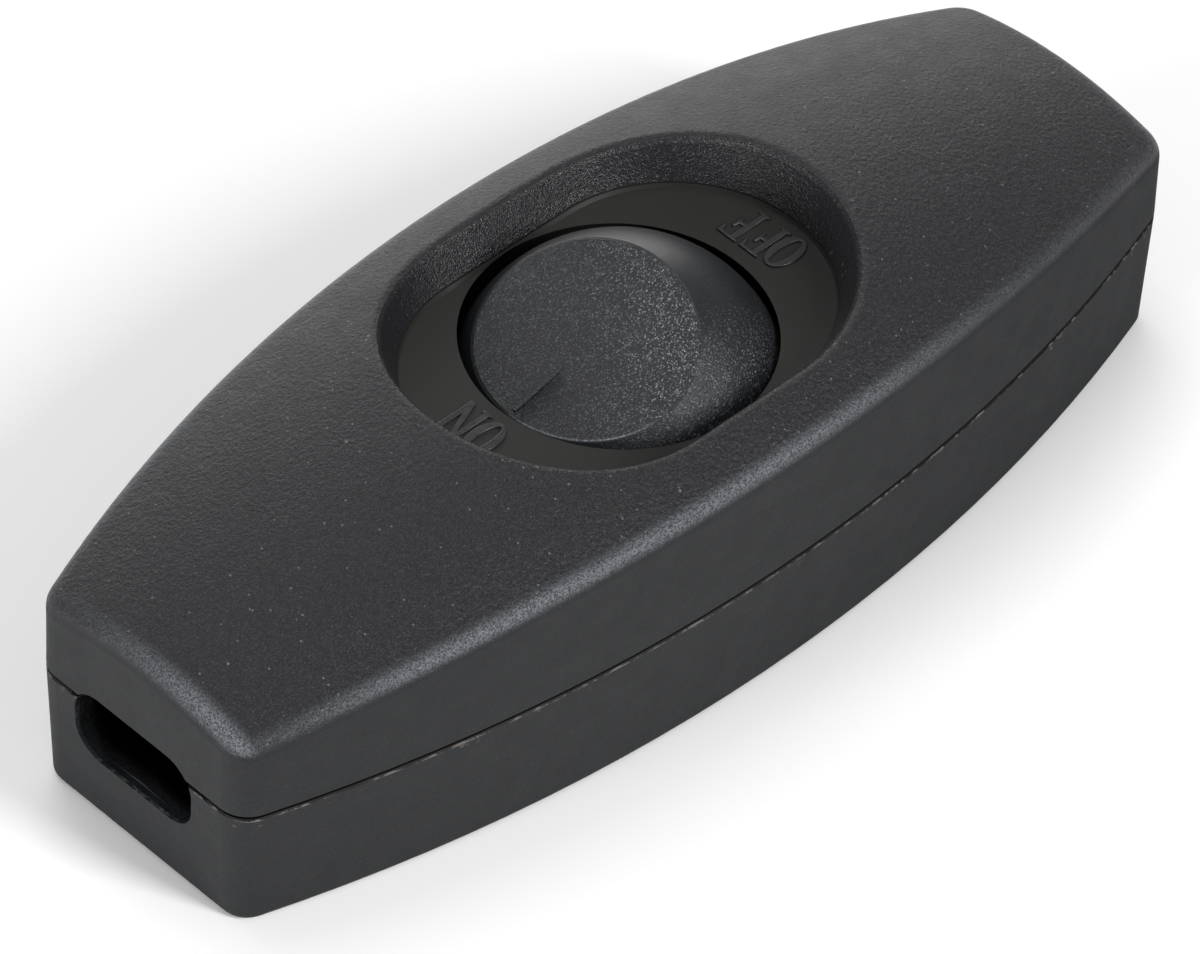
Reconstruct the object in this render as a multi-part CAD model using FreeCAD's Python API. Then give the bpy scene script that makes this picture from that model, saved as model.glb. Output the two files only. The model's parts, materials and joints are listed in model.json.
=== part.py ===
"""Inline cord switch: a two-shell housing with a dished rocker over a seesaw contact.

Millimetres. X runs along the cord, Y across, Z up, with the origin at the centre of the base.
The rocker stands at ON, with its -X side pressed down.
"""
import FreeCAD, Part
import math
import os
from FreeCAD import Vector

# Flat two-lobed cord slots in the end walls
SLOT_WIDTH = 8.0
SLOT_BOTTOM = 3.95
SLOT_TOP = 8.24
SLOT_OFFSET = 0.4
SLOT_RIDGE = 0.17
SLOT_CUSP = 0.08
SLOT_CORNER_RADIUS = 1.6
SLOT_LIP_FLARE = 0.2
SLOT_LIP_DEPTH = 0.6
SLOT_LIP_STEPS = 3
SLOT_OVERRUN = 0.05
SLOT_SIDE_WALL = 3.1

# Round hole, and the pivot of the ball-shaped rocker in it
HOLE_RADIUS = 7.9
PIVOT_HEIGHT = 9.45
PIVOT_DEPTH = 4.45

# Housing outline
SIDE_LAND = 4.4
SEAM_HEIGHT = 7.4
CORNER_RADIUS = 1.8
INNER_CORNER_RADIUS = 0.3
BOTTOM_DRAFT = 0.3
TOP_DRAFT = 0.06
BASE_EDGE_RADIUS = 0.4

# Two curvatures of the domed top
CROWN_LENGTH_RADIUS = 104.0
CROWN_WIDTH_RADIUS = 24.6
CROWN_EDGE_RADIUS = 1.1

# Walls of the shells and the lap joint between them
WALL = 1.5
FLOOR_THICKNESS = 1.5
END_WALL = 2.0
SEAM_GAP = 0.16
SEAM_BEVEL = 0.1
TONGUE_THICKNESS = 0.7
TONGUE_HEIGHT = 1.0
JOINT_CLEARANCE = 0.1

# Finger recess in the top
RECESS_DEPTH = 3.9
RECESS_SIDE_OVERLAP = 0.16
RECESS_ARC_OFFSET = 4.1
RECESS_SIDE_SLOPE = 0.67
RECESS_END_SLOPE = 0.3
RECESS_RIM_RADIUS = 0.5
RECESS_WALL = 1.3

# Rocker, whose dished top stands proud of the recess floor
BALL_CLEARANCE = 0.45
ROCKER_TILT = 23.0
ROCKER_END_PLAY = 0.18
ROCKER_WALL = 1.3
ROCKER_TOP_THICKNESS = 1.4
ROCKER_SIDE_REACH = 0.1
ROCKER_SKIRT_HEIGHT = 0.4
ROCKER_EAR_RADIUS = 2.5
DISH_RISE = 1.68
DISH_RADIUS = 24.0
DISH_EDGE_RADIUS = 0.15
MARK_LENGTH = 3.0
MARK_WIDTH = 0.25
MARK_HEIGHT = 0.15
MARK_OFFSET = 3.5
RIB_THICKNESS = 1.0
RIB_DEPTH = 2.4
TRUNNION_RADIUS = 1.25
TRUNNION_LENGTH = 1.9
RUNNING_CLEARANCE = 0.05
LUG_CLEARANCE = 0.3
LUG_HALF_LENGTH = 2.4
SOCKET_RING_WALL = 1.0
SOCKET_RING_DEPTH = 2.2

# Sprung plunger in the post of the rocker
POST_RADIUS = 2.6
POST_FOOT_HEIGHT = -1.5
PLUNGER_RADIUS = 1.6
PLUNGER_NOSE_RADIUS = 1.1
PLUNGER_TAPER_LENGTH = 1.0
PLUNGER_SHOULDER_HEIGHT = 1.4
SPIGOT_RADIUS = 0.7
SPIGOT_LENGTH = 1.0
SPRING_LENGTH = 3.0
SPRING_RADIUS = 1.2
SPRING_WIRE_RADIUS = 0.2
SPRING_WIRE_SIDES = 6
SPRING_TURNS = 4
SPRING_SEAT_GAP = 0.02

# Seesaw contact under the plunger
SEESAW_PIVOT_HEIGHT = 3.5
SEESAW_TILT = 9.0
SEESAW_THICKNESS = 0.6
SEESAW_TIP = 1.3
SEESAW_WIDTH = 3.2
SEESAW_PIN_RADIUS = 0.5
SEESAW_PIN_OVERHANG = 0.3
SEESAW_BEND_RADIUS = 0.8
PLUNGER_TIP_GAP = 0.2
BUTTON_RADIUS = 1.2
BUTTON_HEIGHT = 0.5
BUTTON_X = 5.6
RIVET_RADIUS = 0.6
RIVET_CLEARANCE = 0.03
CLOSED_GAP = 0.1

# Brass terminals bent from one gauge of strip
STRIP_THICKNESS = 0.7
STRIP_WIDTH = 3.0
STRIP_BEND_RADIUS = 0.3
PAD_WIDTH = 4.8
PAD_LENGTH = 5.2
PAD_HEIGHT = 5.0
LEG_SPACING = 5.2
TERMINAL_Y = 5.6
YOKE_WIDTH = 2.8
YOKE_THICKNESS = 0.6
YOKE_SIDE_GAP = 0.25
YOKE_MARGIN = 0.9
CARRIER_WIDTH = 3.2
PEDESTAL_GAP = 0.1

# Screws: the terminals', the clamps' and the housing's, which are driven from beneath
TERMINAL_SCREW_RADIUS = 1.2
TERMINAL_HEAD_RADIUS = 2.1
TERMINAL_HEAD_HEIGHT = 1.3
TERMINAL_SCREW_LENGTH = 3.4
CLAMP_SCREW_RADIUS = 0.95
CLAMP_SCREW_LENGTH = 5.2
CLAMP_HEAD_RADIUS = 1.6
CLAMP_HEAD_HEIGHT = 1.1
HOUSING_SCREW_RADIUS = 1.3
HOUSING_SCREW_LENGTH = 10.4
HOUSING_HEAD_RADIUS = 2.35
HOUSING_HEAD_HEIGHT = 1.5
HOUSING_HEAD_RECESS = 0.4
SCREW_CLEARANCE = 0.05
SCREW_SLOT_WIDTH = 0.6
SCREW_SLOT_DEPTH = 0.6
HOLE_RUNOUT = 0.4
HEAD_BEVEL = 0.3
TIP_BEVEL = 0.3

# Bosses of the housing screws, and their places along the cord
COUNTERBORE_CLEARANCE = 0.25
SCREW_PASSAGE_CLEARANCE = 0.2
LOWER_BOSS_RADIUS = 3.1
UPPER_BOSS_RADIUS = 2.6
TERMINAL_TO_BOSS = 5.0
BOSS_TO_CLAMP = 6.2
CLAMP_TO_END = 7.0

# Cord clamps
CLAMP_WIDTH = 3.6
CLAMP_THICKNESS = 1.4
CLAMP_CORNER_RADIUS = 1.1
CLAMP_EAR = 1.15
CLAMP_RIB_HEIGHT = 0.8
CLAMP_RIB_WIDTH = 1.2
CLAMP_LIFT = 0.1
CLAMP_BOSS_RADIUS = 1.35
CLAMP_BOSS_GAP = 0.2
GRIP_RIB_WIDTH = 0.8
GRIP_RIB_SPACING = 1.8
GRIP_RIB_DROP = 0.1

# Sizes and places that follow from the ones above
LEG_X = BUTTON_X + LEG_SPACING
TERMINAL_X = LEG_X + PAD_LENGTH / 2
HOUSING_SCREW_X = TERMINAL_X + TERMINAL_TO_BOSS
CLAMP_X = HOUSING_SCREW_X + BOSS_TO_CLAMP
CLAMP_SCREW_Y = SLOT_WIDTH / 2 + CLAMP_BOSS_GAP + CLAMP_BOSS_RADIUS
CLAMP_HALF_LENGTH = CLAMP_SCREW_Y + CLAMP_EAR
CLAMP_SEAT = SLOT_TOP + CLAMP_LIFT
BODY_LENGTH = 2 * (CLAMP_X + CLAMP_TO_END)
MID_WIDTH = 2 * (HOLE_RADIUS + SIDE_LAND)
END_WIDTH = SLOT_WIDTH + 2 * SLOT_SIDE_WALL
SIDE_BULGE = (MID_WIDTH - END_WIDTH) / 2
SIDE_RADIUS = ((BODY_LENGTH / 2) ** 2 + SIDE_BULGE ** 2) / (2 * SIDE_BULGE)
RECESS_FLOOR_HEIGHT = PIVOT_HEIGHT + PIVOT_DEPTH
RECESS_HALF_WIDTH = HOLE_RADIUS - RECESS_SIDE_OVERLAP
CROWN_HEIGHT = RECESS_FLOOR_HEIGHT + RECESS_DEPTH
SKY = CROWN_HEIGHT + FLOOR_THICKNESS
LOWER_RIM = SEAM_HEIGHT - SEAM_GAP / 2
UPPER_RIM = SEAM_HEIGHT + SEAM_GAP / 2
SOCKET_RADIUS = math.hypot(HOLE_RADIUS, PIVOT_DEPTH)
BALL_RADIUS = SOCKET_RADIUS - BALL_CLEARANCE
ROCKER_HALF_WIDTH = HOLE_RADIUS + ROCKER_SIDE_REACH
DISH_HEIGHT = PIVOT_DEPTH + DISH_RISE
BEARING_RADIUS = TRUNNION_RADIUS + RUNNING_CLEARANCE
LUG_FACE = ROCKER_HALF_WIDTH + LUG_CLEARANCE
TRUNNION_END = ROCKER_HALF_WIDTH + TRUNNION_LENGTH
STRIP_TOP = FLOOR_THICKNESS + STRIP_THICKNESS
PAD_TOP = PAD_HEIGHT + STRIP_THICKNESS
SEESAW_HALF_LENGTH = BUTTON_X + SEESAW_TIP
SEESAW_TOP = SEESAW_PIVOT_HEIGHT + SEESAW_THICKNESS / 2
PLUNGER_REACH = PIVOT_HEIGHT - SEESAW_TOP - PLUNGER_TIP_GAP
FIXED_BUTTON_TOP = SEESAW_PIVOT_HEIGHT - SEESAW_THICKNESS / 2 - BUTTON_HEIGHT - CLOSED_GAP
YOKE_FACE = SEESAW_WIDTH / 2 + YOKE_SIDE_GAP

X_AXIS = Vector(1, 0, 0)
Y_AXIS = Vector(0, 1, 0)
Z_AXIS = Vector(0, 0, 1)
PIVOT = Vector(0, 0, PIVOT_HEIGHT)
SEESAW_PIVOT = Vector(0, 0, SEESAW_PIVOT_HEIGHT)
TOLERANCE = 1e-3


def box(x0, x1, y0, y1, z0, z1):
    """Block between two opposite corners, standing on z0."""
    corner = Vector(min(x0, x1), min(y0, y1), z0)
    return Part.makeBox(abs(x1 - x0), abs(y1 - y0), z1 - z0, corner)


def post(x, y, z0, z1, radius):
    """Upright cylinder from z0 to z1."""
    return Part.makeCylinder(radius, z1 - z0, Vector(x, y, z0), Z_AXIS)


def cross_pin(z, y0, y1, radius):
    """Cylinder along Y over the middle of the switch, between y0 and y1."""
    return Part.makeCylinder(radius, abs(y1 - y0), Vector(0, min(y0, y1), z), Y_AXIS)


def fuse(shapes):
    """One solid out of several that touch, without the seams between their faces."""
    return shapes[0].multiFuse(shapes[1:]).removeSplitter()


def arc(a, middle, b):
    """Edge along the circle through three points."""
    return Part.Arc(a, middle, b).toShape()


def polygon_face(corners, radii):
    """Face inside a polygon whose corners are rounded, each by its own radius."""
    edges = []
    count = len(corners)
    starts = []
    ends = []
    for i, corner in enumerate(corners):
        back = (corners[i - 1] - corner).normalize()
        ahead = (corners[(i + 1) % count] - corner).normalize()
        half = back.getAngle(ahead) / 2
        reach = radii[i] / math.tan(half)
        starts.append(corner + back * reach)
        ends.append(corner + ahead * reach)
        if radii[i] > 0:
            bisector = (back + ahead).normalize()
            middle = corner + bisector * (radii[i] / math.sin(half) - radii[i])
            edges.append(arc(starts[i], middle, ends[i]))
    for i in range(count):
        following = (i + 1) % count
        if ends[i].distanceToPoint(starts[following]) > TOLERANCE:
            edges.append(Part.LineSegment(ends[i], starts[following]).toShape())
    return Part.Face(Part.Wire(Part.__sortEdges__(edges)))


def bent_strip(line, y0, y1, thickness, bend_radius):
    """Strip of metal along a line of points in the XZ plane, with rounded bends."""
    points = [Vector(x, y0, z) for x, z in line]
    above = []
    below = []
    radii_above = []
    radii_below = []
    last = len(points) - 1
    for i, point in enumerate(points):
        into = (point - points[max(i - 1, 0)]) if i else (points[1] - point)
        out = (points[min(i + 1, last)] - point) if i < last else into
        into = Vector(into).normalize()
        out = Vector(out).normalize()
        normal = (into + out).normalize().cross(Y_AXIS)
        stretch = thickness / 2 / math.cos(into.getAngle(out) / 2)
        above.append(point + normal * stretch)
        below.append(point - normal * stretch)
        turn = into.cross(out).y
        inner = bend_radius if abs(turn) > TOLERANCE else 0
        outer = bend_radius + thickness if inner else 0
        radii_above.append(inner if turn < 0 else outer)
        radii_below.append(outer if turn < 0 else inner)
    face = polygon_face(above + below[::-1], radii_above + radii_below[::-1])
    return face.extrude(Vector(0, y1 - y0, 0))


def plan_outline(inset, z):
    """Outline of the housing seen from above, moved inwards by inset: bowed sides, straight ends."""
    half = BODY_LENGTH / 2 - inset
    radius = SIDE_RADIUS - inset
    centre_y = MID_WIDTH / 2 - SIDE_RADIUS
    corner = max(CORNER_RADIUS - inset, INNER_CORNER_RADIUS)
    corner_x = half - corner
    corner_y = centre_y + math.sqrt((radius - corner) ** 2 - corner_x ** 2)
    away = Vector(corner_x, corner_y - centre_y, 0).normalize()
    tangent = Vector(0, centre_y, z) + away * radius
    bisector = (away + X_AXIS).normalize()
    corner_mid = Vector(corner_x, corner_y, z) + bisector * corner
    side_mid = Vector(0, centre_y + radius, z)

    def at(point, sx, sy):
        return Vector(point.x * sx, point.y * sy, z)

    end = Vector(half, corner_y, z)
    edges = [
        Part.LineSegment(at(end, 1, -1), end).toShape(),
        arc(end, corner_mid, tangent),
        arc(tangent, side_mid, at(tangent, -1, 1)),
        arc(at(tangent, -1, 1), at(corner_mid, -1, 1), at(end, -1, 1)),
        Part.LineSegment(at(end, -1, 1), at(end, -1, -1)).toShape(),
        arc(at(end, -1, -1), at(corner_mid, -1, -1), at(tangent, -1, -1)),
        arc(at(tangent, -1, -1), at(side_mid, 1, -1), at(tangent, 1, -1)),
        arc(at(tangent, 1, -1), at(corner_mid, 1, -1), at(end, 1, -1)),
    ]
    return Part.Wire(edges)


def plan_block(inset, z0, z1):
    """Upright block with the housing's outline, moved inwards by inset."""
    return Part.Face(plan_outline(inset, z0)).extrude(Vector(0, 0, z1 - z0))


def drafted_block(inset0, z0, inset1, z1):
    """Block with the housing's outline whose inset changes evenly from z0 to z1."""
    return Part.makeLoft([plan_outline(inset0, z0), plan_outline(inset1, z1)], True, True)


def crown(depth):
    """Everything under the domed top, moved down by depth: an arc across turned about a long radius."""
    top = CROWN_HEIGHT - depth
    across = CROWN_WIDTH_RADIUS - depth
    along = CROWN_LENGTH_RADIUS - depth
    reach = MID_WIDTH / 2 + WALL
    shoulder = top - across + math.sqrt(across ** 2 - reach ** 2)
    foot = -FLOOR_THICKNESS
    left = Vector(0, -reach, shoulder)
    right = Vector(0, reach, shoulder)
    low_left = Vector(0, -reach, foot)
    low_right = Vector(0, reach, foot)
    wire = Part.Wire([
        arc(left, Vector(0, 0, top), right),
        Part.LineSegment(right, low_right).toShape(),
        Part.LineSegment(low_right, low_left).toShape(),
        Part.LineSegment(low_left, left).toShape(),
    ])
    axis = Vector(0, 0, top - along)
    sweep = math.degrees(math.atan((BODY_LENGTH / 2 + WALL) / (foot - axis.z)))
    face = Part.Face(wire).rotate(axis, Y_AXIS, -sweep)
    return face.revolve(axis, Y_AXIS, 2 * sweep)


def stadium(radius, arc_offset, z):
    """Outline of two half circles joined by straight sides."""
    right = Vector(arc_offset, 0, z)
    left = Vector(-arc_offset, 0, z)
    up = Vector(0, radius, 0)
    out = Vector(radius, 0, 0)
    return Part.Wire([
        Part.LineSegment(left - up, right - up).toShape(),
        arc(right - up, right + out, right + up),
        Part.LineSegment(right + up, left + up).toShape(),
        arc(left + up, left - out, left - up),
    ])


def recess_pocket(margin):
    """Finger recess as a solid, from its flat floor upwards, grown outwards by margin."""
    floor = RECESS_FLOOR_HEIGHT - margin
    rise = SKY - floor
    radius = RECESS_HALF_WIDTH + margin * (1 - RECESS_SIDE_SLOPE / 2)
    offset = RECESS_ARC_OFFSET
    top_radius = radius + rise * RECESS_SIDE_SLOPE
    top_offset = offset + radius + rise * RECESS_END_SLOPE - top_radius
    outlines = [stadium(radius, offset, floor), stadium(top_radius, top_offset, SKY)]
    return Part.makeLoft(outlines, True, True)


def socket(radius):
    """Ball about the pivot, flattened at the rocker's two sides."""
    ball = Part.makeSphere(radius, PIVOT)
    return ball.common(box(-radius, radius, -LUG_FACE, LUG_FACE, 0, SKY))


def slot_outline(x, grow):
    """Plain rounded face around the cord slot, larger by grow at its two sides and below."""
    half = SLOT_WIDTH / 2 + grow
    low = SLOT_BOTTOM - grow
    high = SLOT_TOP
    corners = [Vector(x, -half, low), Vector(x, half, low), Vector(x, half, high), Vector(x, -half, high)]
    return polygon_face(corners, [SLOT_CORNER_RADIUS + grow] * 4)


def slot_profile(x):
    """Face of the cord slot: two lobes, one for each conductor, that meet in a ridge and a cusp."""
    half = SLOT_WIDTH / 2
    corner = SLOT_CORNER_RADIUS
    flat_y = half - corner
    edges = []
    for sign, level, cusp in ((-1, SLOT_BOTTOM, SLOT_RIDGE), (1, SLOT_TOP, SLOT_CUSP)):
        ridge = Vector(x, 0, level - sign * cusp)
        for side in (-1, 1):
            flat = Vector(x, side * flat_y, level)
            lobe = Vector(x, side * flat_y / 2, level - sign * cusp / 4)
            edges.append(arc(ridge, lobe, flat))
            centre = Vector(x, side * flat_y, level - sign * corner)
            bulge = Vector(0, side, sign).normalize() * corner
            edges.append(arc(flat, centre + bulge, centre + Vector(0, side * corner, 0)))
    for side in (-1, 1):
        foot = Vector(x, side * half, SLOT_BOTTOM + corner)
        head = Vector(x, side * half, SLOT_TOP - corner)
        edges.append(Part.LineSegment(foot, head).toShape())
    return Part.Face(Part.Wire(Part.__sortEdges__(edges)))


def cord_slot(end):
    """Cord slot through the end wall on side end (-1 or 1), with a rounded lip at its mouth."""
    outside = BODY_LENGTH / 2
    inside = outside - END_WALL - WALL
    passage = slot_profile(end * inside).extrude(Vector(end * (outside - inside), 0, 0))
    rings = [slot_outline(end * (outside + SLOT_OVERRUN), SLOT_LIP_FLARE).OuterWire]
    for step in range(SLOT_LIP_STEPS + 1):
        angle = math.radians(90 * step / SLOT_LIP_STEPS)
        depth = SLOT_LIP_DEPTH * (1 - math.cos(angle))
        grow = SLOT_LIP_FLARE * (1 - math.sin(angle))
        rings.append(slot_outline(end * (outside - depth), grow).OuterWire)
    slot = fuse([passage, Part.makeLoft(rings, True, True)])
    slot.translate(Vector(0, SLOT_OFFSET, 0))
    return slot


def round_edges(shape, radius, wanted):
    """Shape with the edges that wanted picks out rounded."""
    edges = [edge for edge in shape.Edges if wanted(edge)]
    return shape.makeFillet(radius, edges)


def bevel_edges(shape, size, wanted):
    """Shape with the edges that wanted picks out bevelled."""
    edges = [edge for edge in shape.Edges if wanted(edge)]
    return shape.makeChamfer(size, edges)


def lower_shell():
    """Bottom cover without its inner features: a drafted tray with a tongue around its rim."""
    outer = drafted_block(BOTTOM_DRAFT, 0, 0, LOWER_RIM)
    outer = round_edges(outer, BASE_EDGE_RADIUS, lambda edge: edge.BoundBox.ZMax < TOLERANCE)
    outer = bevel_edges(outer, SEAM_BEVEL, lambda edge: edge.BoundBox.ZMin > LOWER_RIM - TOLERANCE)
    tray = outer.cut(plan_block(WALL, FLOOR_THICKNESS, SKY))
    reach = LOWER_RIM + SEAM_GAP + TONGUE_HEIGHT
    tongue = plan_block(WALL - TONGUE_THICKNESS, FLOOR_THICKNESS, reach)
    tongue = tongue.cut(plan_block(WALL, FLOOR_THICKNESS, SKY))
    gate = LUG_HALF_LENGTH + LUG_CLEARANCE
    notch = box(-gate, gate, -MID_WIDTH, MID_WIDTH, LOWER_RIM, SKY)
    return [tray, tongue.cut(notch)]


def end_walls(z0, z1, inset, limit):
    """Thicker walls behind the two ends, kept inside limit."""
    walls = []
    for end in (-1, 1):
        x0 = end * (BODY_LENGTH / 2 - inset)
        x1 = end * (BODY_LENGTH / 2 - END_WALL)
        walls.append(box(x0, x1, -END_WIDTH, END_WIDTH, z0, z1).common(limit))
    return walls


def pedestals():
    """Four blocks that carry the terminal pads."""
    blocks = []
    for sx in (-1, 1):
        for sy in (-1, 1):
            x0 = sx * (LEG_X + STRIP_BEND_RADIUS + PEDESTAL_GAP)
            x1 = sx * (TERMINAL_X + PAD_LENGTH / 2)
            y0 = sy * (TERMINAL_Y - PAD_WIDTH / 2)
            y1 = sy * (TERMINAL_Y + PAD_WIDTH / 2)
            blocks.append(box(x0, x1, y0, y1, FLOOR_THICKNESS / 2, PAD_HEIGHT))
    return blocks


def bearing_lugs(z0, z1, limit):
    """Two lugs beside the rocker, from z0 to z1, kept inside limit."""
    lugs = []
    for side in (-1, 1):
        outer = side * MID_WIDTH / 2
        lug = box(-LUG_HALF_LENGTH, LUG_HALF_LENGTH, side * LUG_FACE, outer, z0, z1)
        lugs.append(lug.common(limit))
    return lugs


def bearing_bore():
    """Space of both trunnions in their bearings."""
    reach = TRUNNION_END + ROCKER_END_PLAY + LUG_CLEARANCE / 2
    return cross_pin(PIVOT_HEIGHT, -reach, reach, BEARING_RADIUS)


def clamp_bosses():
    """Four bosses for the clamp screws, each tied to the side wall by a web."""
    parts = []
    foot = FLOOR_THICKNESS / 2
    limit = plan_block(WALL / 2, 0, LOWER_RIM)
    clear = plan_block(WALL + JOINT_CLEARANCE, 0, SKY)
    for sx in (-1, 1):
        for sy in (-1, 1):
            x = sx * CLAMP_X
            y = sy * CLAMP_SCREW_Y
            boss = post(x, y, foot, CLAMP_SEAT, CLAMP_BOSS_RADIUS)
            parts.append(boss.common(clear))
            x0 = x - CLAMP_BOSS_RADIUS / 2
            web = box(x0, x0 + CLAMP_BOSS_RADIUS, y, sy * MID_WIDTH / 2, foot, LOWER_RIM)
            parts.append(web.common(limit))
    return parts


def grip_ribs():
    """Low ribs across the floor under each clamp, for the cord to lie on."""
    ribs = []
    top = SLOT_BOTTOM - GRIP_RIB_DROP
    half = CLAMP_SCREW_Y - CLAMP_BOSS_RADIUS / 2
    for sx in (-1, 1):
        for shift in (-GRIP_RIB_SPACING / 2, GRIP_RIB_SPACING / 2):
            x0 = sx * CLAMP_X + shift - GRIP_RIB_WIDTH / 2
            ribs.append(box(x0, x0 + GRIP_RIB_WIDTH, -half, half, FLOOR_THICKNESS / 2, top))
    return ribs


def lower_screw_holes():
    """Screw holes of the bottom cover: passages for the housing screws, and blind holes."""
    holes = []
    head_top = HOUSING_HEAD_RECESS + HOUSING_HEAD_HEIGHT
    terminal_foot = PAD_TOP - TERMINAL_SCREW_LENGTH - HOLE_RUNOUT
    clamp_foot = CLAMP_SEAT + CLAMP_THICKNESS - CLAMP_SCREW_LENGTH - HOLE_RUNOUT
    for sx in (-1, 1):
        x = sx * HOUSING_SCREW_X
        holes.append(post(x, 0, -HOLE_RUNOUT, head_top, HOUSING_HEAD_RADIUS + COUNTERBORE_CLEARANCE))
        holes.append(post(x, 0, -HOLE_RUNOUT, SKY, HOUSING_SCREW_RADIUS + SCREW_PASSAGE_CLEARANCE))
        for sy in (-1, 1):
            pad = (sx * TERMINAL_X, sy * TERMINAL_Y)
            boss = (sx * CLAMP_X, sy * CLAMP_SCREW_Y)
            holes.append(post(*pad, terminal_foot, SKY, TERMINAL_SCREW_RADIUS + SCREW_CLEARANCE))
            holes.append(post(*boss, clamp_foot, SKY, CLAMP_SCREW_RADIUS + SCREW_CLEARANCE))
    return holes


def bottom_cover():
    """Lower shell with its bosses, pedestals, bearing seats and cord slots."""
    foot = FLOOR_THICKNESS / 2
    inside = plan_block(WALL / 2, foot, LOWER_RIM)
    bodies = lower_shell()
    bodies += end_walls(foot, LOWER_RIM, WALL / 2, inside)
    bodies += pedestals()
    reach = plan_block(WALL + LUG_CLEARANCE, 0, SKY)
    bodies += bearing_lugs(foot, PIVOT_HEIGHT - JOINT_CLEARANCE / 2, reach)
    bodies += bearing_lugs(foot, LOWER_RIM, inside)
    bodies += clamp_bosses()
    bodies += grip_ribs()
    for sx in (-1, 1):
        bodies.append(post(sx * HOUSING_SCREW_X, 0, foot, LOWER_RIM, LOWER_BOSS_RADIUS))
    cover = fuse(bodies)
    for cut in [cord_slot(-1), cord_slot(1), bearing_bore()] + lower_screw_holes():
        cover = cover.cut(cut)
    return cover


def on_recess_rim(edge):
    """Whether an edge is where the finger recess meets the domed top."""
    extent = edge.BoundBox
    above_floor = extent.ZMin > RECESS_FLOOR_HEIGHT + RECESS_RIM_RADIUS
    within_length = max(-extent.XMin, extent.XMax) < BODY_LENGTH / 3
    within_width = max(-extent.YMin, extent.YMax) < MID_WIDTH / 2 - CROWN_EDGE_RADIUS
    return above_floor and within_length and within_width


def upper_rebate():
    """Groove around the top cover's rim that takes the tongue."""
    top = UPPER_RIM + TONGUE_HEIGHT + JOINT_CLEARANCE
    outer = plan_block(WALL - TONGUE_THICKNESS - JOINT_CLEARANCE, 0, top)
    return outer.cut(plan_block(WALL + JOINT_CLEARANCE, 0, top))


def top_cover():
    """Domed upper shell with the finger recess, the ball socket, bearing caps and screw bosses."""
    outer = drafted_block(0, UPPER_RIM, TOP_DRAFT, SKY).common(crown(0))
    outer = round_edges(outer, CROWN_EDGE_RADIUS, lambda edge: edge.BoundBox.ZMin > UPPER_RIM + WALL)
    outer = bevel_edges(outer, SEAM_BEVEL, lambda edge: edge.BoundBox.ZMax < UPPER_RIM + TOLERANCE)
    dish = round_edges(outer.cut(recess_pocket(0)), RECESS_RIM_RADIUS, on_recess_rim)
    hollow = plan_block(WALL, 0, SKY).common(crown(WALL)).cut(recess_pocket(RECESS_WALL))
    ring_foot = RECESS_FLOOR_HEIGHT - RECESS_WALL - SOCKET_RING_DEPTH
    roof = RECESS_FLOOR_HEIGHT - RECESS_WALL / 2
    room = plan_block(WALL / 2, 0, SKY)
    under_crown = room.common(crown(WALL / 2))
    ring = post(0, 0, ring_foot, roof, SOCKET_RADIUS + SOCKET_RING_WALL).common(room)
    bodies = [dish.cut(hollow), ring]
    bodies += bearing_lugs(PIVOT_HEIGHT + JOINT_CLEARANCE / 2, roof, room)
    bodies += end_walls(UPPER_RIM, CROWN_HEIGHT, WALL / 2, under_crown)
    for sx in (-1, 1):
        boss = post(sx * HOUSING_SCREW_X, 0, SEAM_HEIGHT + JOINT_CLEARANCE, SKY, UPPER_BOSS_RADIUS)
        bodies.append(boss.common(under_crown))
    cover = fuse(bodies)
    pilot = HOUSING_SCREW_RADIUS + SCREW_CLEARANCE
    pilot_top = HOUSING_HEAD_RECESS + HOUSING_HEAD_HEIGHT + HOUSING_SCREW_LENGTH + HOLE_RUNOUT
    cuts = [upper_rebate(), socket(SOCKET_RADIUS), bearing_bore(), cord_slot(-1), cord_slot(1)]
    cuts += [post(sx * HOUSING_SCREW_X, 0, 0, pilot_top, pilot) for sx in (-1, 1)]
    for cut in cuts:
        cover = cover.cut(cut)
    return cover


def dish_cylinder(radius):
    """Cylinder across the rocker that hollows its top, about one axis above it."""
    axis_height = PIVOT_HEIGHT + DISH_HEIGHT + DISH_RADIUS
    return cross_pin(axis_height, -BALL_RADIUS, BALL_RADIUS, radius)


def rocker_blank(shrink, foot):
    """Ball of the rocker, smaller by shrink, with flat sides and a flat foot above the pivot."""
    ball = Part.makeSphere(BALL_RADIUS - shrink, PIVOT)
    side = ROCKER_HALF_WIDTH - shrink
    room = box(-BALL_RADIUS, BALL_RADIUS, -side, side, PIVOT_HEIGHT + foot, PIVOT_HEIGHT + BALL_RADIUS)
    return ball.common(room)


def pointer_mark():
    """Thin raised line on the pressed side of the rocker's top."""
    x0 = -MARK_OFFSET - MARK_LENGTH / 2
    bar = box(x0, x0 + MARK_LENGTH, -MARK_WIDTH / 2, MARK_WIDTH / 2, PIVOT_HEIGHT, SKY)
    bar = bar.cut(dish_cylinder(DISH_RADIUS - MARK_HEIGHT))
    return bar.common(dish_cylinder(DISH_RADIUS + ROCKER_TOP_THICKNESS / 2))


def tilted(shape):
    """Rocker piece turned from the middle of its travel to ON, at one end of its play."""
    return shape.rotated(PIVOT, Y_AXIS, -ROCKER_TILT).translated(Vector(0, -ROCKER_END_PLAY, 0))


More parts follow.
